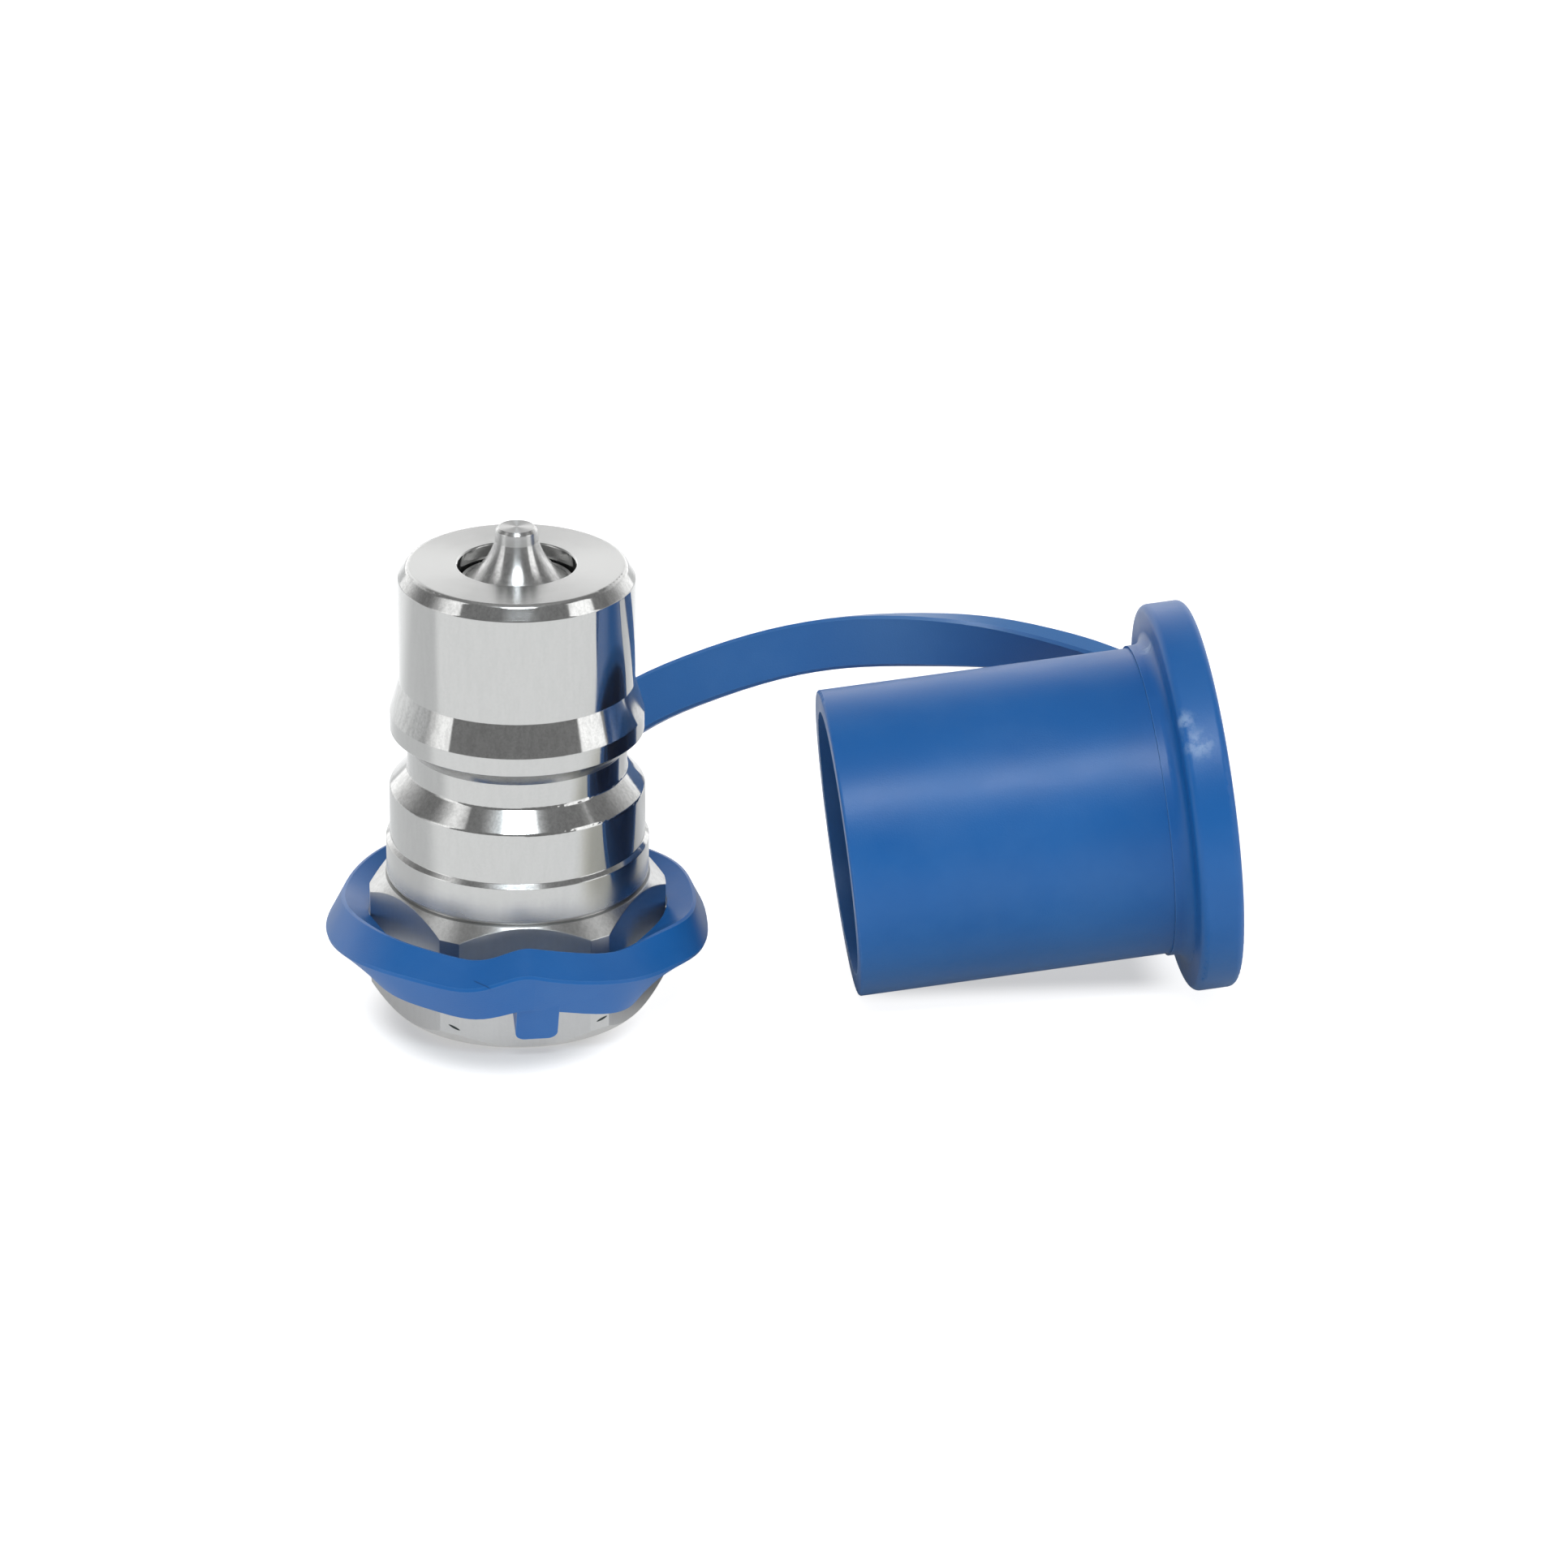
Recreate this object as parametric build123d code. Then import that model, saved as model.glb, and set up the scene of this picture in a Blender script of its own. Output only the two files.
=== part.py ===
from build123d import *
import os
from math import acos, atan2, cos, degrees, hypot, radians, sin, sqrt, tan

# Male tip of a half-inch hydraulic quick coupler, with its moulded dust cap.
# The frame is that of the plug: the origin is on its axis at the face of the pipe port,
# +Z runs out of the nose, and -Y is square to the flat of the hexagon that faces the front.
# The cap lies on its side to the right of the plug, on the surface that the plug stands on.

# Hexagon at the pipe end
across_flats = 27.0
corner_diameter = 30.0
hex_height = 13.4
hex_top_bevel = 1.6
hex_foot_bevel = 1.7

# Rings, ridge and nose of the plug, from the hexagon upwards
foot_groove_width = 0.4
foot_groove_depth = 0.35
mark_ring_diameter = 26.5
mark_ring_height = 3.65
mark_ring_bevel = 0.4
lower_ring_diameter = 25.7
lower_ring_height = 5.3
shoulder_rise = 2.0
shoulder_edge_round = 0.4
shoulder_root_round = 0.4
neck_diameter = 22.0
neck_height = 2.6
ridge_diameter = 25.4
ridge_height = 1.8
cone_rise = 3.3
nose_diameter = 23.5
nose_length = 10.8
lead_run = 0.9
lead_rise = 1.4
lead_round = 0.6
edge_break = 0.25

# Bores of the plug
port_diameter = 20.4
port_depth = 16.5
port_countersink = 0.6
pocket_diameter = 17.2
pocket_depth = 7.8
valve_bore_diameter = 16.0
mouth_diameter = 11.7
mouth_length = 3.4
mouth_edge_break = 0.12

# Valve poppet
tip_rise = 3.9
tip_diameter = 4.3
tip_round = 0.3
tip_length = 1.4
flare_diameter = 10.4
flare_hollow = 0.5
land_drop = 1.6
land_gap = 0.3
seat_gap = 0.3
head_diameter = 14.4
head_back_drop = 7.1
pilot_diameter = 10.4
pilot_length = 2.0
stem_diameter = 5.0
stem_end_break = 0.5

# Seal ring of the poppet
seal_section = 1.6
seal_circle_diameter = 11.6
seal_clearance = 0.1
seal_groove_clearance = 0.03

# Valve guide and its retaining ring
guide_clearance = 0.05
guide_thickness = 3.6
guide_rim_width = 1.5
hub_diameter = 8.0
hub_height = 6.8
stem_clearance = 0.05
spoke_width = 2.4
spoke_count = 3
clip_thickness = 1.2
clip_width = 1.5
clip_groove_depth = 0.6
clip_side_clearance = 0.05
clip_gap_angle = 50.0
clip_lug_diameter = 3.6
clip_hole_diameter = 1.6

# Valve spring
spring_wire = 1.2
spring_pilot_clearance = 0.4
spring_turns = 6.0
spring_seat_clearance = 0.05

# Dust cap: sleeve and flange, moulded with the strap and the collar
cap_diameter = 31.4
cap_wall = 2.2
cap_bore_depth = 34.4
cap_length = 33.75
cap_rim_round = 0.3
flange_diameter = 39.8
flange_thickness = 4.4
flange_round = 0.8
flange_root_round = 1.2
root_ring_width = 1.9
root_ring_rise = 0.25
bead_height = 0.9
bead_width = 2.4
bead_drop = 1.0
cap_stand_off = 32.5
cap_set_back = -0.4

# Collar of the dust cap round the hexagon, a band that rolls as it goes round
collar_width = 4.0
collar_edge = 0.25
collar_clearance = 0.15
collar_samples = 54
collar_turn = 1.8
# angle from the front, radius and height of the inner top edge, roll and depth of the band
collar_stations = [
    (0, 16.8, 12.9, 24, 5.2),
    (15, 17.1, 12.1, 28, 5.3),
    (30, 17.2, 11.3, 28, 5.2),
    (46, 17.1, 11.3, 46, 4.7),
    (66, 18.1, 11.1, 66, 3.8),
    (88, 17.9, 10.8, 68, 3.2),
    (112, 18.3, 10.3, 60, 3.4),
    (136, 19.1, 9.4, 57, 3.6),
    (160, 20.2, 9.2, 55, 4.0),
    (180, 20.7, 9.3, 56, 4.2),
    (200, 20.6, 9.5, 58, 4.2),
    (224, 19.5, 9.6, 61, 4.0),
    (248, 18.3, 9.7, 63, 3.5),
    (272, 17.6, 10.8, 60, 3.2),
    (294, 17.6, 11.9, 49, 3.8),
    (314, 17.9, 12.3, 32, 4.5),
    (330, 17.6, 12.0, 28, 4.8),
    (345, 17.3, 11.9, 26, 5.0),
]
tab_angle = 1.4
tab_width = 4.2
tab_drop = 4.3
tab_thickness = 2.6
tab_round = 1.0
tab_inset = 0.1

# Strap from the back of the collar to the rim of the flange
strap_width = 5.4
strap_thickness = 2.2
strap_edge = 0.3
# share of the way to the flange, distance behind the plug's axis, height, and lean
strap_stations = [
    (0.000, 20.6, 6.5, 6),
    (0.010, 23.6, 8.6, 14),
    (0.050, 25.8, 11.8, 22),
    (0.123, 27.0, 15.2, 25),
    (0.208, 26.8, 19.4, 25),
    (0.301, 26.1, 22.7, 25),
    (0.411, 25.3, 25.5, 23),
    (0.528, 24.4, 27.2, 20),
    (0.645, 23.7, 27.6, 7),
    (0.762, 23.2, 27.2, -14),
    (0.880, 22.9, 25.5, -30),
    (0.956, 22.5, 23.5, -22),
    (0.997, 20.9, 22.8, -12),
    (1.003, 18.0, 22.6, -9),
]

# Heights along the plug's axis
mark_ring_foot = hex_height + foot_groove_width
mark_ring_top = mark_ring_foot + mark_ring_height
lower_ring_foot = mark_ring_top + mark_ring_bevel
lower_ring_top = mark_ring_top + lower_ring_height + mark_ring_bevel
neck_foot = lower_ring_top + shoulder_rise
neck_top = neck_foot + neck_height
ridge_bevel = (ridge_diameter - neck_diameter) / 2
ridge_foot = neck_top + ridge_bevel
ridge_top = ridge_foot + ridge_height
nose_foot = ridge_top + cone_rise
nose_top = nose_foot + nose_length
top_face = nose_top + lead_rise

# The valve seat is a 45 degree cone between the valve bore and the mouth
seat_top = top_face - mouth_length
seat_foot = seat_top - (valve_bore_diameter - mouth_diameter) / 2
pocket_top = port_depth + pocket_depth
clip_groove_top = pocket_top - guide_thickness - clip_side_clearance
clip_groove_height = clip_thickness + 2 * clip_side_clearance
spring_mean_diameter = pilot_diameter + spring_pilot_clearance + spring_wire
poppet_back = top_face - head_back_drop


def revolved(points, rounds=()):
    """Solid of revolution about Z from (radius, height) points, with rounded corners."""
    outline = make_face(Polyline(*points, close=True))
    for corner, radius in rounds:
        here = [v for v in outline.vertices() if hypot(v.X - corner[0], v.Y - corner[1]) < 1e-4]
        outline = fillet(here, radius)
    return revolve(Plane.XZ * outline, Axis.Z)


def plug_outside():
    """Turned outside above the hexagon, then the hexagon itself with both bevels."""
    mark_r = mark_ring_diameter / 2
    lower_r = lower_ring_diameter / 2
    neck_r = neck_diameter / 2
    ridge_r = ridge_diameter / 2
    nose_r = nose_diameter / 2
    groove_r = mark_r - foot_groove_depth
    lead_corner = (nose_r - lead_run, top_face)
    nose_corner = (nose_r, nose_top)
    shoulder_edge = (lower_r, lower_ring_top)
    shoulder_root = (neck_r, neck_foot)
    turned = revolved(
        [
            (0, 0),
            (groove_r, 0),
            (groove_r, mark_ring_foot),
            (mark_r, mark_ring_foot),
            (mark_r, mark_ring_top),
            (lower_r, lower_ring_foot),
            shoulder_edge,
            shoulder_root,
            (neck_r, neck_top),
            (ridge_r, ridge_foot),
            (ridge_r, ridge_top),
            (nose_r, nose_foot),
            nose_corner,
            lead_corner,
            (0, top_face),
        ],
        rounds=[
            (lead_corner, lead_round),
            (nose_corner, edge_break),
            (shoulder_edge, shoulder_edge_round),
            (shoulder_root, shoulder_root_round),
        ],
    )
    prism = extrude(RegularPolygon(across_flats / 2, 6, major_radius=False), hex_height)
    corner_r = corner_diameter / 2
    turning = revolved(
        [
            (0, 0),
            (corner_r - hex_foot_bevel, 0),
            (corner_r, hex_foot_bevel),
            (corner_r, hex_height - hex_top_bevel),
            (corner_r - hex_top_bevel, hex_height),
            (0, hex_height),
        ]
    )
    return turned + (prism & turning)


def plug_bore():
    """Everything that is bored out of the plug, as one solid."""
    port_r = port_diameter / 2
    pocket_r = pocket_diameter / 2
    groove_r = pocket_r + clip_groove_depth
    valve_r = valve_bore_diameter / 2
    mouth_r = mouth_diameter / 2
    groove_foot = clip_groove_top - clip_groove_height
    return revolved(
        [
            (0, 0),
            (port_r + port_countersink, 0),
            (port_r, port_countersink),
            (port_r, port_depth),
            (pocket_r, port_depth),
            (pocket_r, groove_foot),
            (groove_r, groove_foot),
            (groove_r, clip_groove_top),
            (pocket_r, clip_groove_top),
            (pocket_r, pocket_top),
            (valve_r, pocket_top),
            (valve_r, seat_foot),
            (mouth_r, seat_top),
            (mouth_r, top_face - mouth_edge_break),
            (mouth_r + mouth_edge_break, top_face),
            (0, top_face),
        ]
    )


def seat_line(gap):
    """Radius plus height along the line that lies a gap inside the valve seat."""
    return seat_top + mouth_diameter / 2 - gap * sqrt(2)


def seal_height():
    """Height of the seal ring's centre circle, set by its clearance from the seat."""
    return seat_line(seal_section / 2 + seal_clearance) - seal_circle_diameter / 2


def poppet():
    """Valve poppet: tip, concave flare, land, sealing cone, spring pilot and stem."""
    tip_r = tip_diameter / 2
    flare_r = flare_diameter / 2
    land_r = mouth_diameter / 2 - land_gap
    head_r = head_diameter / 2
    pilot_r = pilot_diameter / 2
    stem_r = stem_diameter / 2
    tip_top = top_face + tip_rise
    land_top = top_face - land_drop
    cone = seat_line(seat_gap)
    stem_foot = pocket_top - guide_thickness
    pilot_foot = poppet_back - pilot_length
    flare_top = tip_top - tip_length
    run = flare_r - tip_r
    rise = flare_top - land_top
    hollow = flare_hollow / hypot(run, rise)
    flare_mid = (tip_r + run / 2 - hollow * rise, land_top + rise / 2 - hollow * run)
    outline = make_face(
        [
            Polyline(
                (0, stem_foot),
                (stem_r - stem_end_break, stem_foot),
                (stem_r, stem_foot + stem_end_break),
                (stem_r, pilot_foot),
                (pilot_r, pilot_foot),
                (pilot_r, poppet_back),
                (head_r, poppet_back),
                (head_r, cone - head_r),
                (land_r, cone - land_r),
                (land_r, land_top),
                (flare_r, land_top),
            ),
            ThreePointArc((flare_r, land_top), flare_mid, (tip_r, flare_top)),
            Polyline(
                (tip_r, flare_top),
                (tip_r - 0.1, tip_top - tip_round),
                (tip_r - 0.1 - tip_round, tip_top),
                (0, tip_top),
                (0, stem_foot),
            ),
        ]
    )
    body = revolve(Plane.XZ * outline, Axis.Z)
    groove = Torus(seal_circle_diameter / 2, seal_section / 2 + seal_groove_clearance)
    return body - Pos(0, 0, seal_height()) * groove


def poppet_seal():
    """Seal ring in the groove of the sealing cone."""
    return Pos(0, 0, seal_height()) * Torus(seal_circle_diameter / 2, seal_section / 2)


def valve_spring():
    """Open coil of round wire between the guide and the back of the poppet's head."""
    foot = pocket_top + spring_seat_clearance + spring_wire / 2
    top = poppet_back - spring_seat_clearance - spring_wire / 2
    line = Pos(0, 0, foot) * Helix((top - foot) / spring_turns, top - foot, spring_mean_diameter / 2)
    section = Plane(origin=line @ 0, z_dir=line % 0) * Circle(spring_wire / 2)
    return sweep(section, path=line, is_frenet=True)


def valve_guide():
    """Disc with a hub for the stem, opened between its spokes for the oil."""
    outer_r = pocket_diameter / 2 - guide_clearance
    hub_r = hub_diameter / 2
    foot = pocket_top - guide_thickness
    disc = Pos(0, 0, foot) * extrude(Circle(outer_r), guide_thickness)
    window = Circle(outer_r - guide_rim_width) - Circle(hub_r)
    for k in range(spoke_count):
        spoke = Rot(0, 0, k * 360 / spoke_count) * Pos(outer_r / 2, 0) * Rectangle(outer_r, spoke_width)
        window -= spoke
    disc -= Pos(0, 0, foot) * extrude(window, guide_thickness)
    hub = Pos(0, 0, foot) * extrude(Circle(hub_r), hub_height)
    bore = Pos(0, 0, foot) * extrude(Circle(stem_diameter / 2 + stem_clearance), hub_height)
    return disc + hub - bore


def retaining_ring():
    """Internal snap ring with two pierced lugs, sprung into its groove below the guide."""
    outer_r = pocket_diameter / 2 + clip_groove_depth - clip_side_clearance
    inner_r = outer_r - clip_width
    lug_r = inner_r - clip_lug_diameter / 2 + clip_width / 2
    foot = clip_groove_top - clip_side_clearance - clip_thickness
    half = clip_gap_angle / 2
    ring = Circle(outer_r) - Circle(inner_r)
    reach = 2 * outer_r
    edge = reach * tan(radians(half))
    ring -= make_face(Polyline((0, 0), (reach, edge), (reach, -edge), close=True))
    for side in (-1, 1):
        lug_angle = side * (half + 9)
        lug_place = Rot(0, 0, lug_angle) * Pos(lug_r, 0)
        ring += lug_place * Circle(clip_lug_diameter / 2)
        ring -= lug_place * Circle(clip_hole_diameter / 2)
    return Pos(0, 0, foot) * extrude(ring, clip_thickness)


def band(stations, width, thickness, edge, closed):
    """Solid band through stations of (centre, width direction, thickness direction)."""
    w = width / 2
    t = thickness / 2
    corners = [
        (w, t - edge),
        (w - edge, t),
        (edge - w, t),
        (-w, t - edge),
        (-w, edge - t),
        (edge - w, -t),
        (w - edge, -t),
        (w, edge - t),
    ]
    return skinned([[c + a * wide + b * thick for a, b in corners] for c, wide, thick in stations], closed)


def rails(sections, closed):
    """Splines through the like corners of a row of sections."""
    count = len(sections) + (1 if closed else 0)
    knots = [k / (count - 1) for k in range(count)]
    lines = []
    for k in range(len(sections[0])):
        points = [section[k] for section in sections]
        lines.append(Edge.make_spline(points, periodic=closed, parameters=knots))
    return lines


def skinned(sections, closed):
    """Solid with ruled faces between the rails of its sections."""
    lines = rails(sections, closed)
    faces = []
    for k, line in enumerate(lines):
        faces.append(Face.make_surface_from_curves(line, lines[(k + 1) % len(lines)]))
    if not closed:
        for end in (sections[0], sections[-1]):
            faces.append(Face(Wire.make_polygon(end, close=True)))
    return Solid(Shell(faces))


def hexagon_radius(angle):
    """Distance from the axis to the outside of the hexagon at an angle from the front."""
    off_flat = (angle + 30) % 60 - 30
    return min(across_flats / 2 / cos(radians(off_flat)), corner_diameter / 2)


def off_the_hexagon(point):
    """The point itself, or moved outwards to where it clears the hexagon."""
    radius = hypot(point.X, point.Y)
    least = hexagon_radius(degrees(atan2(point.X, -point.Y))) + collar_clearance
    grow = max(1.0, least / radius)
    return Vector(point.X * grow, point.Y * grow, point.Z)


def collar_section(angle, radius, height, roll, depth):
    """Corners of the collar's section at an angle from the front."""
    w = collar_width
    e = collar_edge
    corners = [(e, 0), (w - e, 0), (w, e), (w, depth - e)]
    corners += [(w - e, depth), (e, depth), (0, depth - e), (0, e)]
    roll = radians(roll)
    turn = radians(angle + collar_turn)
    points = []
    for a, b in corners:
        r = radius + a * cos(roll) - b * sin(roll)
        z = height - a * sin(roll) - b * cos(roll)
        points.append(Vector(r * sin(turn), -r * cos(turn), z))
    return points


def collar():
    """Closed band round the hexagon, held off it wherever the two would meet."""
    guides = rails([collar_section(*station) for station in collar_stations], closed=True)
    steps = [k / collar_samples for k in range(collar_samples)]
    return skinned([[off_the_hexagon(guide @ u) for guide in guides] for u in steps], closed=True)


def tab():
    """Small pull tab below the front of the collar, just inside its outer face."""
    before, after = collar_stations[:2]
    share = (tab_angle - before[0]) / (after[0] - before[0])
    angle, radius, height, roll, depth = [a + (b - a) * share for a, b in zip(before, after)]
    roll = radians(roll)
    drop = tab_drop + collar_edge + 1.0
    width = collar_width - tab_inset
    r = radius + width * cos(roll) - depth * sin(roll)
    z = height - width * sin(roll) - depth * cos(roll)
    face = Plane(origin=(0, -r, z), x_dir=(1, 0, 0), z_dir=(0, -cos(roll), -sin(roll)))
    outline = Pos(0, drop / 2 - tab_drop) * Rectangle(tab_width, drop)
    low = outline.vertices().group_by(Axis.Y)[0]
    outline = fillet(low, tab_round)
    return Rot(0, 0, angle + collar_turn) * extrude(face * outline, -tab_thickness)


def strap():
    """Flat strap that leaves the collar, leans back as it rises and bends into the flange."""
    reach = cap_stand_off + (cap_length + flange_thickness / 2) * cos(cap_tilt())
    places = [(share * reach, back, height) for share, back, height, lean in strap_stations]
    line = Spline(*places)
    last = len(places) - 1
    stations = []
    for k, place in enumerate(places):
        u = line.param_at_point(place) if 0 < k < last else k / last
        along = line % u
        side = along.cross(Vector(0, 0, 1)).normalized()
        up = side.cross(along).normalized()
        turn = radians(strap_stations[k][3])
        wide = up * cos(turn) - side * sin(turn)
        thick = side * cos(turn) + up * sin(turn)
        stations.append((line @ u, wide, thick))
    return band(stations, strap_width, strap_thickness, strap_edge, closed=False)


def cap_tilt():
    """Tilt of the lying cap, whose rounded rim and flange both touch the table."""
    reach = cap_length + flange_round - cap_rim_round
    rise = (flange_diameter - cap_diameter) / 2 + cap_rim_round - flange_round
    return acos((cap_rim_round - flange_round) / hypot(rise, reach)) - atan2(reach, rise)


def cap_place():
    """Place of the cap's axis frame, with its +Z from the open rim to the flange."""
    tilt = cap_tilt()
    low_r = cap_diameter / 2 - cap_rim_round
    lift = low_r * cos(tilt) - cap_rim_round * sin(tilt) + cap_rim_round
    axis = Vector(cos(tilt), 0, sin(tilt))
    return Plane(origin=(cap_stand_off, cap_set_back, lift), x_dir=(0, 1, 0), z_dir=axis)


def cap_shell():
    """Sleeve closed by the flange, with the inner bead that snaps behind the ridge."""
    cap_r = cap_diameter / 2
    bore_r = cap_r - cap_wall
    flange_r = flange_diameter / 2
    end = cap_length + flange_thickness
    bead_top = cap_bore_depth - (top_face - ridge_foot) - bead_drop
    bead_r = bore_r - bead_height
    ring_r = cap_r + root_ring_rise
    ring_foot = cap_length - root_ring_width
    root = (ring_r, cap_length)
    near = (flange_r, cap_length)
    far = (flange_r, end)
    rim = (cap_r, 0)
    shell = revolved(
        [
            (bore_r, 0),
            rim,
            (cap_r, ring_foot),
            (ring_r, ring_foot),
            root,
            near,
            far,
            (0, end),
            (0, cap_bore_depth),
            (bore_r, cap_bore_depth),
            (bore_r, bead_top),
            (bead_r, bead_top - bead_width / 3),
            (bead_r, bead_top - 2 * bead_width / 3),
            (bore_r, bead_top - bead_width),
        ],
        rounds=[
            (rim, cap_rim_round),
            (root, flange_root_round),
            (near, flange_round),
            (far, flange_round),
        ],
    )
    return cap_place() * shell


def dust_cap():
    """Cap, strap and collar, moulded in one piece."""
    return cap_shell() + strap() + collar() + tab()


parts = {
    "plug_body": plug_outside() - plug_bore(),
    "poppet": poppet(),
    "poppet_seal": poppet_seal(),
    "valve_spring": valve_spring(),
    "valve_guide": valve_guide(),
    "retaining_ring": retaining_ring(),
    "dust_cap": dust_cap(),
}

os.makedirs("parts", exist_ok=True)
for name, shape in parts.items():
    export_step(shape, f"parts/{name}.step")
    print(name, "solids", len(shape.solids()), "volume", round(shape.volume, 1))
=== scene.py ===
import math
import bpy
from mathutils import Matrix, Vector


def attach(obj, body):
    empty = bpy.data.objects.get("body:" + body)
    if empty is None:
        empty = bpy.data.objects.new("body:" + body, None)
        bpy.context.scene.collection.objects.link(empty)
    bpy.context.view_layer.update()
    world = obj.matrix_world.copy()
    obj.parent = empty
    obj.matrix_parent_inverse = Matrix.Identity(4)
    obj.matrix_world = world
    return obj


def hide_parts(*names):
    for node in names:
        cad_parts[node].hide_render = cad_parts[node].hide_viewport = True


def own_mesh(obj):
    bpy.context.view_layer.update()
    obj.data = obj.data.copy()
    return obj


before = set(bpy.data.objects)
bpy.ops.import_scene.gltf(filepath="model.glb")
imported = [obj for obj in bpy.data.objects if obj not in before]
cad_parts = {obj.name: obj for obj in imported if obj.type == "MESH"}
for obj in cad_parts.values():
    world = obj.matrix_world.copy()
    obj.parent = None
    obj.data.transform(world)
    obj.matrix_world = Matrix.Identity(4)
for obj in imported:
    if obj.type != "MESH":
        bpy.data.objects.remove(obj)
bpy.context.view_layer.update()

MM = 0.001
CAMERA_TURN = 0.1109
WHITE = (1, 1, 1, 1)


# Camera, at the photograph's viewing angle

def place_camera():
    """Camera to the left of the plug and above it, looking down at the pair."""
    dip = 0.4276
    roll = -0.0211
    spot = Vector((-23.03 * MM, -448.61 * MM, 227.84 * MM))
    look = Vector((
        math.sin(CAMERA_TURN) * math.cos(dip),
        math.cos(CAMERA_TURN) * math.cos(dip),
        -math.sin(dip),
    ))
    right = Vector((math.cos(CAMERA_TURN), -math.sin(CAMERA_TURN), 0))
    down = look.cross(right)
    right, down = (
        right * math.cos(roll) + down * math.sin(roll),
        down * math.cos(roll) - right * math.sin(roll),
    )
    view = Matrix((right, -down, -look)).transposed().to_4x4()
    camera = bpy.data.objects.new("camera", bpy.data.cameras.new("camera"))
    bpy.context.scene.collection.objects.link(camera)
    camera.matrix_world = Matrix.Translation(spot) @ view
    camera.data.sensor_width = 36
    camera.data.lens = 112.68
    camera.data.clip_start = 0.01
    bpy.context.scene.camera = camera


# Node helpers

def millimetres(point):
    """Point given in millimetres, in metres."""
    return tuple(c * MM for c in point)


def new_group(name, inputs, outputs):
    """Empty shader node group with number inputs (name and default) and number outputs."""
    group = bpy.data.node_groups.new(name, "ShaderNodeTree")
    for label, value in inputs.items():
        socket = group.interface.new_socket(label, in_out="INPUT", socket_type="NodeSocketFloat")
        socket.default_value = value
    for label in outputs:
        group.interface.new_socket(label, in_out="OUTPUT", socket_type="NodeSocketFloat")
    return group, group.nodes.new("NodeGroupInput"), group.nodes.new("NodeGroupOutput")


def give_out(group, result, **values):
    """Links values to a group's named outputs."""
    for label, value in values.items():
        group.links.new(value, result.inputs[label])


def feed(tree, value, socket):
    """Links a socket, or sets a plain value."""
    if isinstance(value, bpy.types.NodeSocket):
        tree.links.new(value, socket)
    else:
        socket.default_value = value


def maths(tree, operation, *values):
    """Math node fed by numbers or sockets."""
    node = tree.nodes.new("ShaderNodeMath")
    node.operation = operation
    for k, value in enumerate(values):
        feed(tree, value, node.inputs[k])
    return node.outputs[0]


def vector_maths(tree, operation, *values):
    """Vector Math node fed by vectors or sockets; gives a number where the operation does."""
    node = tree.nodes.new("ShaderNodeVectorMath")
    node.operation = operation
    for k, value in enumerate(values):
        feed(tree, value, node.inputs[k])
    gives_number = operation in ("DISTANCE", "DOT_PRODUCT", "LENGTH")
    return node.outputs["Value" if gives_number else "Vector"]


def distance_from(tree, place, point):
    """Distance of a place from a point given in millimetres."""
    return vector_maths(tree, "DISTANCE", place, millimetres(point))


def stretch(tree, value, low, high, to_low=0.0, to_high=1.0):
    """Map Range node, clamped and smooth."""
    node = tree.nodes.new("ShaderNodeMapRange")
    node.interpolation_type = "SMOOTHSTEP"
    feed(tree, value, node.inputs["Value"])
    feed(tree, low, node.inputs["From Min"])
    feed(tree, high, node.inputs["From Max"])
    feed(tree, to_low, node.inputs["To Min"])
    feed(tree, to_high, node.inputs["To Max"])
    return node.outputs["Result"]


def window(tree, value, low, high, soft):
    """One between two limits and zero outside them, with soft edges."""
    enter = stretch(tree, value, low - soft, low + soft)
    leave = stretch(tree, value, high + soft, high - soft)
    return maths(tree, "MULTIPLY", enter, leave)


def mixed(tree, share, first, second):
    """Mix node for colours."""
    node = tree.nodes.new("ShaderNodeMix")
    node.data_type = "RGBA"
    feed(tree, share, node.inputs["Factor"])
    feed(tree, first, node.inputs["A"])
    feed(tree, second, node.inputs["B"])
    return node.outputs["Result"]


def object_place(tree):
    """Object coordinates and their three parts."""
    coordinates = tree.nodes.new("ShaderNodeTexCoord").outputs["Object"]
    parts = tree.nodes.new("ShaderNodeSeparateXYZ")
    tree.links.new(coordinates, parts.inputs[0])
    return coordinates, parts.outputs["X"], parts.outputs["Y"], parts.outputs["Z"]


def noise(tree, where, scale, detail=2.0, dimensions="3D", roughness=0.5):
    """Noise texture value."""
    node = tree.nodes.new("ShaderNodeTexNoise")
    node.noise_dimensions = dimensions
    tree.links.new(where, node.inputs["W" if dimensions == "1D" else "Vector"])
    feed(tree, scale, node.inputs["Scale"])
    node.inputs["Detail"].default_value = detail
    node.inputs["Roughness"].default_value = roughness
    return node.outputs["Fac"]


# Shared surface effects

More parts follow.
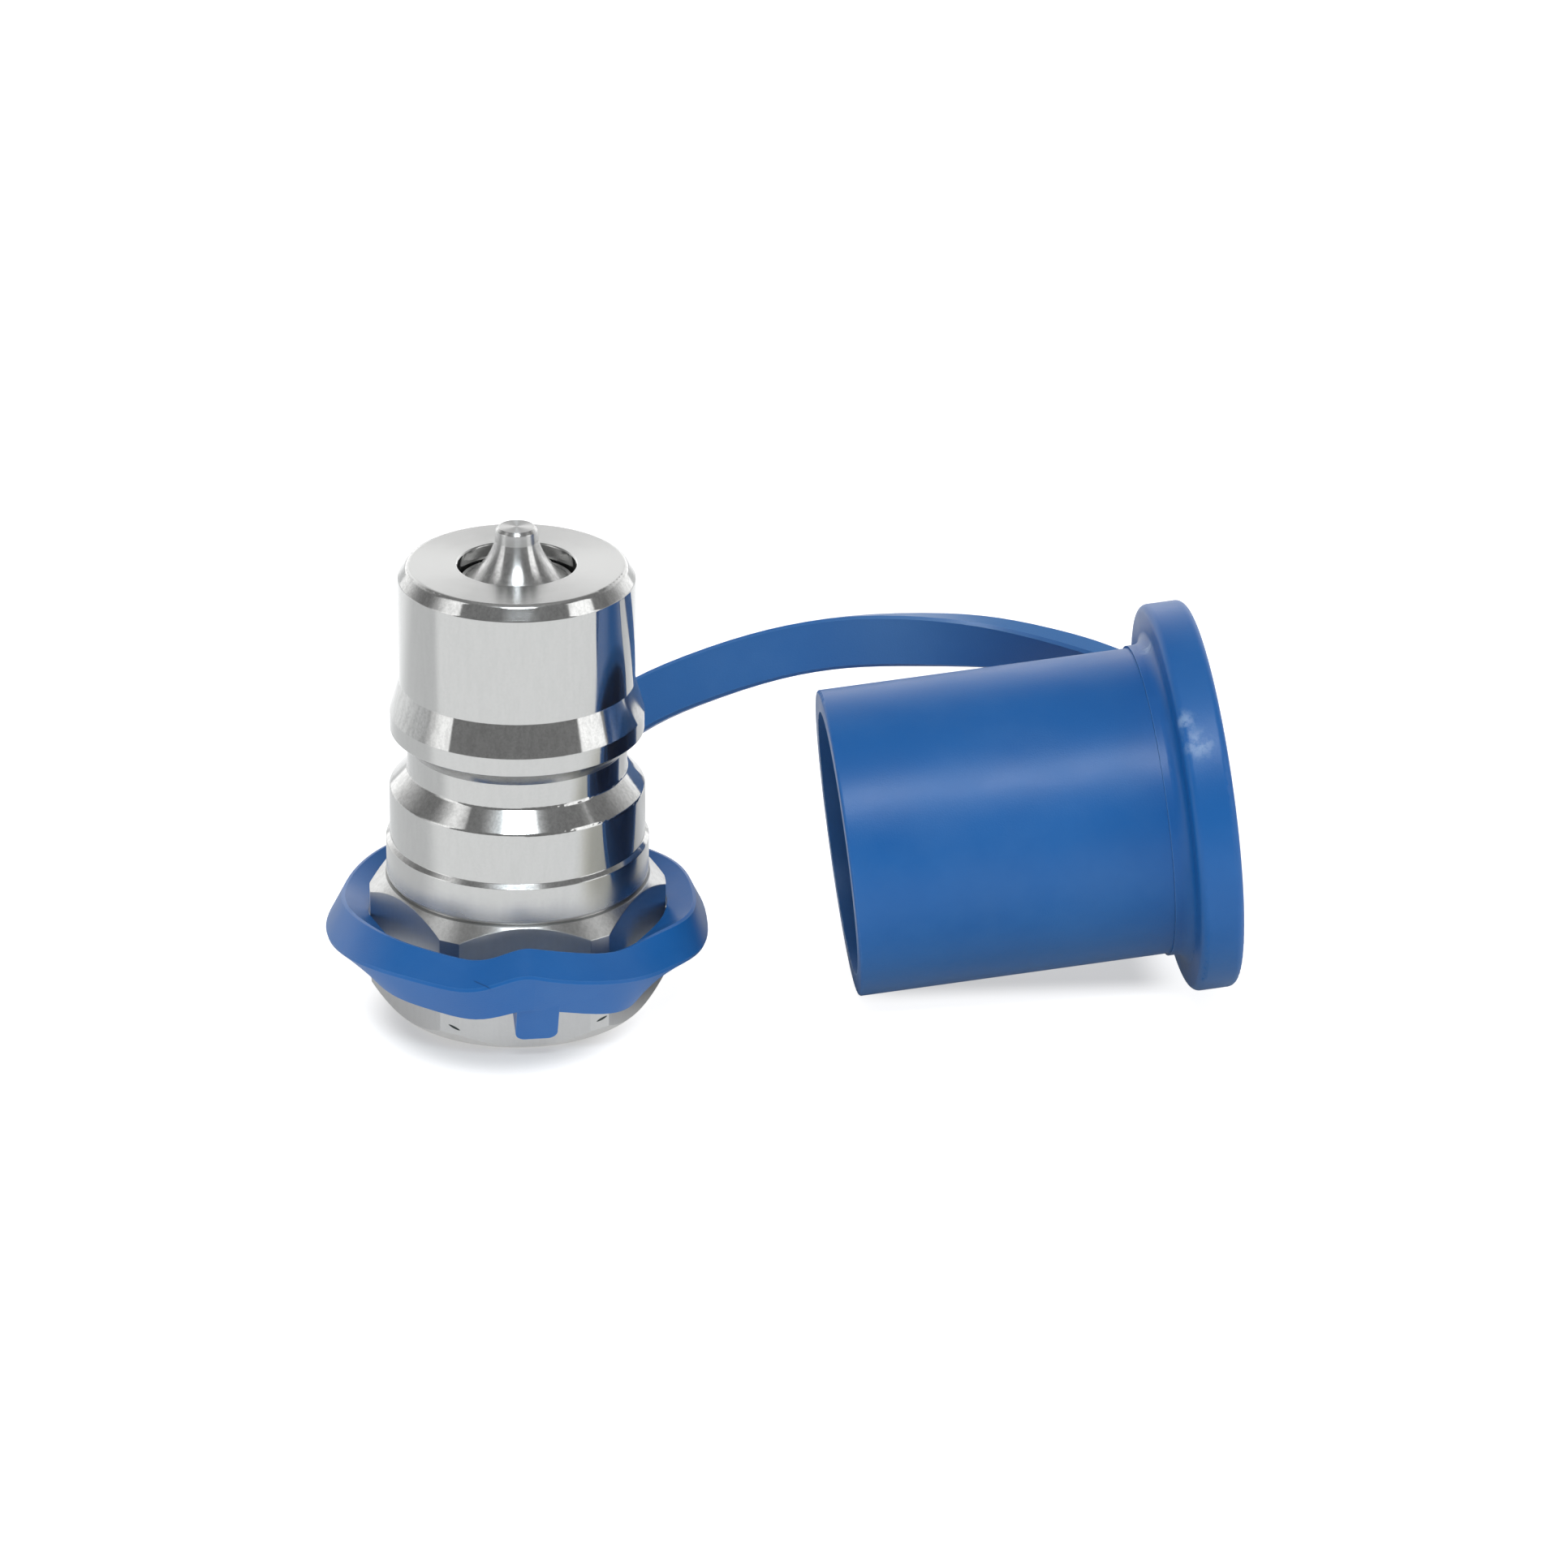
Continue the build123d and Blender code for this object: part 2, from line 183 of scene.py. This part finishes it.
def turning_marks_group():
    """Lines that a lathe tool leaves round Z, and masks for flat faces, slopes and the foot."""
    group, given, result = new_group(
        "turning_marks",
        {"Spacing": 0.2 * MM, "Slope": 0.6},
        ["Height", "Streaks", "Flat", "Sloping", "Foot"],
    )
    _, x, y, z = object_place(group)
    squares = maths(group, "ADD", maths(group, "MULTIPLY", x, x), maths(group, "MULTIPLY", y, y))
    radius = maths(group, "SQRT", squares)
    along = maths(group, "MULTIPLY_ADD", radius, given.outputs["Slope"], z)
    fine = maths(group, "DIVIDE", 1.0, given.outputs["Spacing"])
    broad = maths(group, "MULTIPLY", fine, 0.12)
    lines = noise(group, along, fine, detail=3.0, dimensions="1D", roughness=0.7)
    bands = noise(group, along, broad, detail=2.0, dimensions="1D")
    streaks = maths(group, "MULTIPLY", maths(group, "ADD", lines, bands), 0.5)
    facing = group.nodes.new("ShaderNodeSeparateXYZ")
    group.links.new(group.nodes.new("ShaderNodeTexCoord").outputs["Normal"], facing.inputs[0])
    level = maths(group, "ABSOLUTE", facing.outputs["Z"])
    flat = stretch(group, level, 0.93, 0.99)
    above_foot = stretch(group, z, 4 * MM, 8 * MM)
    sloping = maths(group, "MULTIPLY", window(group, level, 0.22, 0.86, 0.06), above_foot)
    foot = stretch(group, z, 17.8 * MM, 13.3 * MM)
    give_out(group, result, Height=lines, Streaks=streaks, Flat=flat, Sloping=sloping, Foot=foot)
    return group


def plating_mottle_group():
    """Cloudy grain of bright zinc plating, drawn out along Z by polishing."""
    group, given, result = new_group("plating_mottle", {"Size": 1 * MM}, ["Mottle"])
    place, _, _, _ = object_place(group)
    polished = vector_maths(group, "MULTIPLY", place, (1, 1, 0.2))
    scale = maths(group, "DIVIDE", 1.0, given.outputs["Size"])
    drawn_out = noise(group, polished, scale, detail=3.0, roughness=0.6)
    cloud = noise(group, place, maths(group, "MULTIPLY", scale, 2.2), detail=3.0, roughness=0.7)
    both = maths(group, "MULTIPLY", maths(group, "ADD", drawn_out, cloud), 0.5)
    give_out(group, result, Mottle=stretch(group, both, 0.36, 0.62))
    return group


def edge_wear_and_highlight_group():
    """Mask that is one on edges and falls to zero on the faces beside them; edges paled by it are partly
    rubbed wear and partly a painted highlight.
    """
    group, given, result = new_group("edge_wear_and_highlight", {"Sharpness": 12.0}, ["Mask"])
    rounded = group.nodes.new("ShaderNodeBevel")
    rounded.samples = 6
    rounded.inputs["Radius"].default_value = 0.16 * MM
    plain = group.nodes.new("ShaderNodeNewGeometry").outputs["Normal"]
    bend = maths(group, "SUBTRACT", 1.0, vector_maths(group, "DOT_PRODUCT", rounded.outputs[0], plain))
    mask = maths(group, "MULTIPLY", bend, given.outputs["Sharpness"])
    give_out(group, result, Mask=maths(group, "MINIMUM", mask, 1.0))
    return group


def handling_group():
    """Broad uneven film that handling leaves, and fine specks in it."""
    group, given, result = new_group("handling", {"Size": 8 * MM}, ["Film", "Specks"])
    place, _, _, _ = object_place(group)
    scale = maths(group, "DIVIDE", 1.0, given.outputs["Size"])
    film = noise(group, place, scale, detail=4.0, roughness=0.6)
    specks = noise(group, place, maths(group, "MULTIPLY", scale, 14.0), detail=1.0)
    give_out(
        group, result,
        Film=stretch(group, film, 0.35, 0.7),
        Specks=stretch(group, specks, 0.68, 0.78),
    )
    return group


def moulded_skin_group():
    """Faint unevenness of a moulded skin: slow flow marks and a fine satin grain."""
    group, given, result = new_group("moulded_skin", {"Grain": 0.2 * MM}, ["Height", "Flow"])
    place, _, _, _ = object_place(group)
    grain = noise(group, place, maths(group, "DIVIDE", 1.0, given.outputs["Grain"]), detail=2.0)
    flow = noise(group, place, 120.0, detail=3.0)
    give_out(group, result, Height=maths(group, "MULTIPLY_ADD", flow, 4.0, grain), Flow=flow)
    return group


turning_marks = turning_marks_group()
plating_mottle = plating_mottle_group()
edge_wear_and_highlight = edge_wear_and_highlight_group()
handling = handling_group()
moulded_skin = moulded_skin_group()


# Materials

def new_material(name):
    """Material with a Principled shader; returns it with its tree and shader."""
    material = bpy.data.materials.new(name)
    material.use_nodes = True
    return material, material.node_tree, material.node_tree.nodes["Principled BSDF"]


def placed(tree, group, **values):
    """Outputs of a shared group, placed in a material with its own values."""
    node = tree.nodes.new("ShaderNodeGroup")
    node.node_tree = group
    for label, value in values.items():
        node.inputs[label].default_value = value
    return node.outputs


def bumped(tree, shader, height, depth, rounding=0.0):
    """Bump node from a height to the shader's normal, over edges that are slightly rounded."""
    bump = tree.nodes.new("ShaderNodeBump")
    bump.inputs["Distance"].default_value = depth
    if rounding:
        edge = tree.nodes.new("ShaderNodeBevel")
        edge.samples = 6
        edge.inputs["Radius"].default_value = rounding
        tree.links.new(edge.outputs[0], bump.inputs["Normal"])
    tree.links.new(height, bump.inputs["Height"])
    tree.links.new(bump.outputs["Normal"], shader.inputs["Normal"])


def lathe_sheen(tree, shader):
    """Draws reflections out along the profile, as lathe lines round Z do."""
    shader.inputs["Anisotropic"].default_value = 0.9
    shader.inputs["Anisotropic Rotation"].default_value = 0.25
    round_axis = tree.nodes.new("ShaderNodeTangent")
    round_axis.direction_type = "RADIAL"
    round_axis.axis = "Z"
    tree.links.new(round_axis.outputs[0], shader.inputs["Tangent"])


def turned_steel(name, colour, dull, spacing, depth, dull_face=0.0, dull_foot=0.0, nicked=False):
    """Turned bright steel: lathe lines, plating mottle, a cloudy clear passivate, edges paler (partly rubbed
    wear, partly a painted highlight) and flat faces painted darker as shade.
    """
    material, tree, shader = new_material(name)
    shader.inputs["Metallic"].default_value = 1.0
    shader.inputs["Coat Weight"].default_value = 0.55
    shader.inputs["Coat Roughness"].default_value = 0.5
    lathe_sheen(tree, shader)
    lines = placed(tree, turning_marks, Spacing=spacing)
    film = placed(tree, handling, Size=7 * MM)["Film"]
    edges = placed(tree, edge_wear_and_highlight, Sharpness=9.0)["Mask"]
    mottle = placed(tree, plating_mottle, Size=0.6 * MM)["Mottle"]
    pale = (*[min(1.0, c * 1.2) for c in colour], 1)
    dim = (*[c * 0.72 for c in colour], 1)
    grain_all_over = 0.15
    grain_on_slopes = 0.6
    # Painted shade: flat faces are painted darker by this share.
    shade_on_flat_faces = 0.5
    grain = maths(tree, "MULTIPLY_ADD", lines["Sloping"], grain_on_slopes, grain_all_over)
    grain = maths(tree, "MULTIPLY", maths(tree, "SUBTRACT", 1.0, mottle), grain)
    streaked = mixed(tree, grain, (*colour, 1), dim)
    # Painted shade: faces lying flat are mixed towards the dimmer colour.
    flat_faces_shaded = mixed(tree, maths(tree, "MULTIPLY", lines["Flat"], shade_on_flat_faces), streaked, dim)
    # Edges paler: partly rubbed wear, partly a painted highlight.
    edge_lit_and_worn = mixed(tree, edges, flat_faces_shaded, pale)
    if nicked:
        edge_lit_and_worn = mixed(tree, wrench_nicks(tree), edge_lit_and_worn, (0.02, 0.03, 0.03, 1))
    tree.links.new(edge_lit_and_worn, shader.inputs["Base Color"])
    rough = maths(tree, "MULTIPLY_ADD", lines["Streaks"], 0.05, dull)
    rough = maths(tree, "MULTIPLY_ADD", film, 0.03, rough)
    rough = maths(tree, "MULTIPLY_ADD", lines["Flat"], dull_face, rough)
    rough = maths(tree, "MULTIPLY_ADD", lines["Foot"], dull_foot, rough)
    tree.links.new(rough, shader.inputs["Roughness"])
    bumped(tree, shader, lines["Height"], depth, rounding=0.12 * MM)
    return material


def wrench_nicks(tree):
    """Two short dark nicks that a wrench left low on the hexagon."""
    place, _, _, _ = object_place(tree)
    nicks = [((-7.1, -13.3, 2.45), -0.35), ((7.7, -12.9, 2.75), 0.25)]
    marks = 0.0
    for centre, rise in nicks:
        slant = tree.nodes.new("ShaderNodeVectorRotate")
        slant.rotation_type = "Y_AXIS"
        slant.inputs["Center"].default_value = millimetres(centre)
        slant.inputs["Angle"].default_value = rise
        tree.links.new(place, slant.inputs["Vector"])
        apart = vector_maths(tree, "SUBTRACT", slant.outputs[0], millimetres(centre))
        long_nick = vector_maths(tree, "MULTIPLY", apart, (1, 1, 5))
        reach = vector_maths(tree, "LENGTH", long_nick)
        marks = maths(tree, "ADD", marks, stretch(tree, reach, 0.75 * MM, 0.55 * MM))
    return marks


def moulded_cap(name):
    """Satin blue moulded plastic, paler where the skin is stretched and at edges (partly rubbed, partly a
    painted highlight), with a painted sheen on the strap, painted light in the bore and a painted crease
    shade.
    """
    material, tree, shader = new_material(name)
    skin = placed(tree, moulded_skin, Grain=0.16 * MM)
    film = placed(tree, handling, Size=12 * MM)["Film"]
    edges = placed(tree, edge_wear_and_highlight, Sharpness=5.0)["Mask"]
    shader.inputs["Specular IOR Level"].default_value = 0.33
    deep = (0.006, 0.098, 0.336, 1)
    clear = (0.010, 0.120, 0.386, 1)
    chalky = (0.16, 0.33, 0.60, 1)
    # Pale blue for the strap's haze and painted sheen and for the bore's painted light.
    haze_and_painted_light = (0.17, 0.31, 0.50, 1)
    whitened = (0.45, 0.60, 0.78, 1)
    # Colour of the painted shade in the collar's fold.
    crease_shade_blue = (0.004, 0.05, 0.16, 1)
    blue = mixed(tree, skin["Flow"], deep, clear)
    blue = mixed(tree, maths(tree, "MULTIPLY", film, 0.06), blue, chalky)
    # Strap paler: partly haze, partly a painted sheen.
    blue = mixed(tree, strap_haze_and_sheen(tree), blue, haze_and_painted_light)
    # Painted light on the bore's wall.
    blue = mixed(tree, bore_painted_light(tree), blue, haze_and_painted_light)
    # Edges paler: partly rubbed wear, partly a painted highlight.
    blue = mixed(tree, maths(tree, "MULTIPLY", edges, 0.35), blue, chalky)
    blue = mixed(tree, stress_marks(tree), blue, whitened)
    # Painted shade along the collar's fold.
    blue = mixed(tree, collar_crease_shade(tree), blue, crease_shade_blue)
    tree.links.new(blue, shader.inputs["Base Color"])
    tree.links.new(maths(tree, "MULTIPLY_ADD", film, 0.08, 0.36), shader.inputs["Roughness"])
    bumped(tree, shader, skin["Height"], 0.012 * MM)
    return material


def strap_haze_and_sheen(tree):
    """Whitish haze on the bent strap, partly haze and partly a painted sheen and painted light, stronger
    where it turns down to the flange.
    """
    _, x, y, z = object_place(tree)
    behind = stretch(tree, y, 19.0 * MM, 20.5 * MM)
    raised = stretch(tree, z, 9 * MM, 16 * MM)
    to_flange = stretch(tree, x, 30 * MM, 44 * MM, 0.13, 0.34)
    return maths(tree, "MULTIPLY", maths(tree, "MULTIPLY", behind, raised), to_flange)


def bore_painted_light(tree):
    """Painted light: a faint pale patch on the wall of the cap's bore behind its mouth, standing for light
    that enters the mouth.
    """
    place, _, _, _ = object_place(tree)
    on_bore_axis = [(38.0, -0.4, 16.0), (46.0, -0.4, 17.0)]
    painted_glow = 0.0
    for centre in on_bore_axis:
        inside = stretch(tree, distance_from(tree, place, centre), 15.3 * MM, 14.6 * MM, 0.0, 0.16)
        painted_glow = maths(tree, "MAXIMUM", painted_glow, inside)
    return painted_glow


def collar_crease_shade(tree):
    """Painted shade: a short dark fold line where the collar's lip was pulled over a corner of the hexagon.
    """
    place, _, _, _ = object_place(tree)
    middle = (-4.6, -19.8, 10.5)
    square_to_fold = (-0.544, -0.533, -0.647)
    apart = vector_maths(tree, "SUBTRACT", place, millimetres(middle))
    across = vector_maths(tree, "DOT_PRODUCT", apart, square_to_fold)
    reach = vector_maths(tree, "LENGTH", apart)
    thin = stretch(tree, maths(tree, "ABSOLUTE", across), 0.11 * MM, 0.03 * MM)
    near = stretch(tree, reach, 1.2 * MM, 0.7 * MM)
    return maths(tree, "MULTIPLY", maths(tree, "MULTIPLY", thin, near), 0.8)


def stress_marks(tree):
    """Whitened patches by the flange's root and on its knocked rim, and pale flecks on the mouth's edge."""
    place, x, y, _ = object_place(tree)
    patches = [((63.8, 0.9, 35.9), 2.0), ((64.8, -13.9, 34.2), 1.7), ((66.0, -15.7, 32.5), 2.3)]
    marks = 0.0
    for centre, size in patches:
        patch = stretch(tree, distance_from(tree, place, centre), size * MM, 0.0, 0.0, 0.42)
        marks = maths(tree, "ADD", marks, patch)
    broken = stretch(tree, noise(tree, place, 900.0, detail=4.0, roughness=0.7), 0.38, 0.66)
    edges = placed(tree, edge_wear_and_highlight, Sharpness=9.0)["Mask"]
    mouth = maths(tree, "MULTIPLY", window(tree, x, 29 * MM, 36 * MM, MM), stretch(tree, y, 19 * MM, 18 * MM))
    flecks = maths(tree, "MULTIPLY", maths(tree, "MULTIPLY", mouth, edges), 0.7)
    return maths(tree, "MULTIPLY", maths(tree, "ADD", marks, flecks), broken)


def seal_rubber(name):
    """Black nitrile seal with a faint oily bloom."""
    material, tree, shader = new_material(name)
    film = placed(tree, handling, Size=3 * MM)
    colour = mixed(tree, film["Film"], (0.012, 0.012, 0.013, 1), (0.03, 0.03, 0.032, 1))
    tree.links.new(colour, shader.inputs["Base Color"])
    tree.links.new(maths(tree, "MULTIPLY_ADD", film["Film"], 0.2, 0.35), shader.inputs["Roughness"])
    bumped(tree, shader, film["Specks"], 0.01 * MM)
    return material


def spring_wire(name):
    """Drawn spring wire: dark grey, with draw marks and a thin film of oil."""
    material, tree, shader = new_material(name)
    shader.inputs["Metallic"].default_value = 1.0
    film = placed(tree, handling, Size=2 * MM)
    edges = placed(tree, edge_wear_and_highlight, Sharpness=4.0)["Mask"]
    colour = mixed(tree, film["Film"], (0.30, 0.30, 0.31, 1), (0.42, 0.41, 0.40, 1))
    # Edges paler: partly wear, partly a painted highlight.
    colour = mixed(tree, edges, colour, (0.6, 0.6, 0.6, 1))
    tree.links.new(colour, shader.inputs["Base Color"])
    tree.links.new(maths(tree, "MULTIPLY_ADD", film["Film"], 0.15, 0.25), shader.inputs["Roughness"])
    bumped(tree, shader, film["Specks"], 0.01 * MM)
    return material


def finish(node, material):
    """Gives a CAD node its material."""
    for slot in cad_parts[node].material_slots:
        slot.material = material


plug_steel = turned_steel(
    "plug_steel", (0.53, 0.532, 0.525), dull=0.045, spacing=0.3 * MM, depth=0.001 * MM,
    dull_face=0.16, dull_foot=0.21, nicked=True,
)
poppet_steel = turned_steel(
    "poppet_steel", (0.54, 0.54, 0.535), dull=0.20, spacing=0.4 * MM, depth=0.001 * MM, dull_face=0.15,
)
guide_steel = turned_steel("guide_steel", (0.45, 0.45, 0.44), dull=0.25, spacing=0.4 * MM, depth=0.002 * MM)
clip_steel = turned_steel("clip_steel", (0.14, 0.14, 0.15), dull=0.30, spacing=0.6 * MM, depth=0.001 * MM)
spring_steel = spring_wire("spring_steel")
finish("plug_body", plug_steel)
finish("poppet", poppet_steel)
finish("valve_guide", guide_steel)
finish("retaining_ring", clip_steel)
finish("valve_spring", spring_steel)
finish("poppet_seal", seal_rubber("seal_rubber"))
finish("dust_cap", moulded_cap("cap_plastic"))


# Pipe thread in the port, and the spring

def wind_up(profile, turns, pitch):
    """Winds an outline round Z into a right-handed helix."""
    winding = profile.modifiers.new("winding", "SCREW")
    winding.axis = "Z"
    winding.steps = winding.render_steps = 64
    winding.iterations = turns
    winding.screw_offset = pitch
    winding.use_merge_vertices = False
    bpy.ops.object.modifier_apply(modifier="winding")


def close_ends(corners):
    """Caps both ends of what was wound, turns its faces outward and smooths it."""
    bpy.ops.object.mode_set(mode="EDIT")
    bpy.ops.mesh.select_mode(type="EDGE")
    bpy.ops.mesh.select_all(action="DESELECT")
    bpy.ops.mesh.select_non_manifold()
    bpy.ops.mesh.fill_holes(sides=corners)
    bpy.ops.mesh.select_all(action="SELECT")
    bpy.ops.mesh.normals_make_consistent(inside=False)
    bpy.ops.object.mode_set(mode="OBJECT")
    bpy.ops.object.shade_smooth_by_angle(angle=math.radians(40))


def pipe_thread():
    """Tapered inside thread of 14 turns an inch, as one ridge that winds up the port."""
    threads_per_inch = 14
    pitch = 25.4 / threads_per_inch * MM
    turns = 8
    start = 0.95 * MM
    back = 10.75 * MM
    foot = 10.45 * MM
    crest = 9.25 * MM
    half_foot = 0.44 * pitch
    half_crest = 0.07 * pitch
    profile = [
        (back, half_foot), (foot, half_foot), (crest, half_crest),
        (crest, -half_crest), (foot, -half_foot), (back, -half_foot),
    ]
    bpy.ops.object.select_all(action="DESELECT")
    bpy.ops.mesh.primitive_circle_add(vertices=len(profile), location=(0, 0, 0))
    ridge = bpy.context.object
    ridge.name = "pipe_thread"
    for vertex, (radius, height) in zip(ridge.data.vertices, profile):
        vertex.co = (radius, 0, start + height)
    wind_up(ridge, turns, pitch)
    narrowing = ridge.modifiers.new("narrowing", "SIMPLE_DEFORM")
    narrowing.deform_method = "TAPER"
    narrowing.deform_axis = "Z"
    narrowing.factor = -0.043
    bpy.ops.object.modifier_apply(modifier="narrowing")
    close_ends(len(profile))
    ridge.data.materials.append(plug_steel)
    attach(ridge, "plug")


def wound_spring():
    """The spring again as a wound piece of its own, in place of the CAD spring."""
    wire = 1.2 * MM
    coil = 12.0 * MM
    seat = 24.35 * MM
    length = 15.25 * MM
    turns = 6
    facets = 16
    bpy.ops.object.select_all(action="DESELECT")
    bpy.ops.mesh.primitive_circle_add(vertices=facets, radius=wire / 2, location=(0, 0, 0))
    spring = bpy.context.object
    spring.name = "wound_spring"
    for vertex in spring.data.vertices:
        vertex.co = (coil / 2 + vertex.co.x, 0, seat + wire / 2 + vertex.co.y)
    wind_up(spring, turns, (length - wire) / turns)
    close_ends(facets)
    spring.data.materials.append(spring_steel)
    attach(spring, "plug")
    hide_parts("valve_spring")
    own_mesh(spring)


pipe_thread()
wound_spring()


# Floor and light

def painted_floor_glow(tree, place, back):
    """Painted glow of the table and its tint, seen in reflections and light: weaker beside the plug and by
    the cap as painted shade, warm by the cap, and weaker far off.
    """
    before_cap = (55, -8, 0)
    beside_plug = (25, -3, 0)
    plug_foot = (0, 0, 0)
    near_glow_band = stretch(tree, back, -4 * MM, -22 * MM)
    far_glow_band = stretch(tree, back, 50 * MM, 90 * MM)
    glow = maths(tree, "MULTIPLY_ADD", maths(tree, "MAXIMUM", near_glow_band, far_glow_band), 0.34, 0.50)
    # Painted shadow of the cap in the glow, with a warm painted tint.
    clear_of_cap = stretch(tree, distance_from(tree, place, before_cap), 20 * MM, 37 * MM)
    tint = mixed(tree, clear_of_cap, (1.0, 0.95, 0.74, 1), WHITE)
    glow = maths(tree, "MULTIPLY", glow, maths(tree, "MULTIPLY_ADD", clear_of_cap, 0.62, 0.38))
    # Painted shade in the glow beside the plug.
    between = distance_from(tree, place, beside_plug)
    glow = maths(tree, "MULTIPLY", glow, stretch(tree, between, 7 * MM, 14 * MM, 0.15, 1.0))
    from_plug = distance_from(tree, place, plug_foot)
    glow = maths(tree, "MULTIPLY", glow, stretch(tree, from_plug, 150 * MM, 450 * MM, 1.0, 0.55))
    return glow, tint


def painted_contact_shadow(tree, place, aside, back):
    """Near-white table top as the camera sees it, with a painted soft shadow round the plug's foot and under
    the cap.
    """
    shade_middle = (-2.2, -5, 0)
    under_cap_depth = 0.4
    # Painted soft shadow round the plug's foot.
    widened = vector_maths(tree, "MULTIPLY", place, (1.1, 1, 1))
    round_foot = distance_from(tree, widened, shade_middle)
    shown = stretch(tree, round_foot, 10.4 * MM, 16.4 * MM, 0.42, 0.93)
    # Painted shadow under the cap.
    under_cap = maths(
        tree, "MULTIPLY",
        window(tree, aside, 36 * MM, 66 * MM, 3 * MM),
        window(tree, back, -4 * MM, 10 * MM, 2.4 * MM),
    )
    return maths(tree, "SUBTRACT", shown, maths(tree, "MULTIPLY", under_cap, under_cap_depth))


def pale_floor():
    """Wide shooting table of white acrylic with a painted glow, as if lit a little from below, and painted
    shadows on it.
    """
    bpy.ops.object.select_all(action="DESELECT")
    bpy.ops.mesh.primitive_plane_add(size=6, location=(0, 0, -0.02 * MM))
    floor = bpy.context.object
    floor.name = "floor"
    material, tree, shader = new_material("white_acrylic")
    shader.inputs["Base Color"].default_value = (0.35, 0.35, 0.35, 1)
    shader.inputs["Roughness"].default_value = 0.9
    shader.inputs["Specular IOR Level"].default_value = 0.1
    place, aside, back, _ = object_place(tree)
    glow, tint = painted_floor_glow(tree, place, back)
    shown = painted_contact_shadow(tree, place, aside, back)
    # The camera sees the painted shadow; other rays see the painted glow.
    seen = tree.nodes.new("ShaderNodeLightPath").outputs["Is Camera Ray"]
    tree.links.new(mixed(tree, seen, tint, WHITE), shader.inputs["Emission Color"])
    glow = maths(tree, "MULTIPLY_ADD", seen, maths(tree, "SUBTRACT", shown, glow), glow)
    tree.links.new(glow, shader.inputs["Emission Strength"])
    floor.data.materials.append(material)


def light_patch(tree, heading, across, height, up):
    """Soft-edged patch of light between two headings and two heights."""
    return maths(tree, "MULTIPLY", window(tree, heading, *across), window(tree, height, *up))


def studio_world():
    """Dim room with a white wall behind the object, a tall soft box on each side and a key light."""
    world = bpy.data.worlds.new("studio")
    bpy.context.scene.world = world
    world.use_nodes = True
    tree = world.node_tree
    background = tree.nodes["Background"]
    turned = tree.nodes.new("ShaderNodeVectorRotate")
    turned.rotation_type = "Z_AXIS"
    turned.inputs["Angle"].default_value = CAMERA_TURN
    tree.links.new(tree.nodes.new("ShaderNodeTexCoord").outputs["Generated"], turned.inputs["Vector"])
    parts = tree.nodes.new("ShaderNodeSeparateXYZ")
    tree.links.new(turned.outputs[0], parts.inputs[0])
    x, y, height = parts.outputs["X"], parts.outputs["Y"], parts.outputs["Z"]
    heading = maths(tree, "ARCTAN2", x, maths(tree, "MULTIPLY", y, -1.0))
    beside = maths(tree, "ABSOLUTE", heading)
    ceiling = stretch(tree, height, 0.80, 1.0, 0.27, 0.45)
    wall = maths(tree, "MULTIPLY", stretch(tree, beside, 1.75, 2.65), stretch(tree, height, 0.74, 0.46))
    low_wall = maths(tree, "MULTIPLY", stretch(tree, beside, 1.5, 2.0), stretch(tree, height, 0.30, 0.10))
    left_fade = maths(
        tree, "MULTIPLY",
        stretch(tree, heading, -1.00, -1.04),
        stretch(tree, heading, -1.66, -1.16),
    )
    left_box = maths(tree, "MULTIPLY", left_fade, window(tree, height, -0.05, 0.78, 0.05))
    right_box = light_patch(tree, heading, (1.07, 1.52, 0.025), height, (-0.05, 0.68, 0.04))
    key = light_patch(tree, heading, (-0.20, 0.42, 0.14), height, (0.775, 0.85, 0.02))
    spill = light_patch(tree, heading, (-0.45, 0.45, 0.38), height, (0.82, 0.945, 0.03))
    level = ceiling
    lights = [(wall, 1.15), (low_wall, 0.40), (left_box, 1.45), (right_box, 1.65), (spill, 1.7), (key, 28.0)]
    for light, strength in lights:
        level = maths(tree, "MULTIPLY_ADD", light, strength, level)
    colour = mixed(tree, maths(tree, "MAXIMUM", key, spill), WHITE, (0.92, 1.01, 1.07, 1))
    tree.links.new(colour, background.inputs["Color"])
    camera_ray = tree.nodes.new("ShaderNodeLightPath").outputs["Is Camera Ray"]
    tree.links.new(maths(tree, "MAXIMUM", level, camera_ray), background.inputs["Strength"])


place_camera()
pale_floor()
studio_world()
bpy.context.scene.view_settings.view_transform = "Standard"
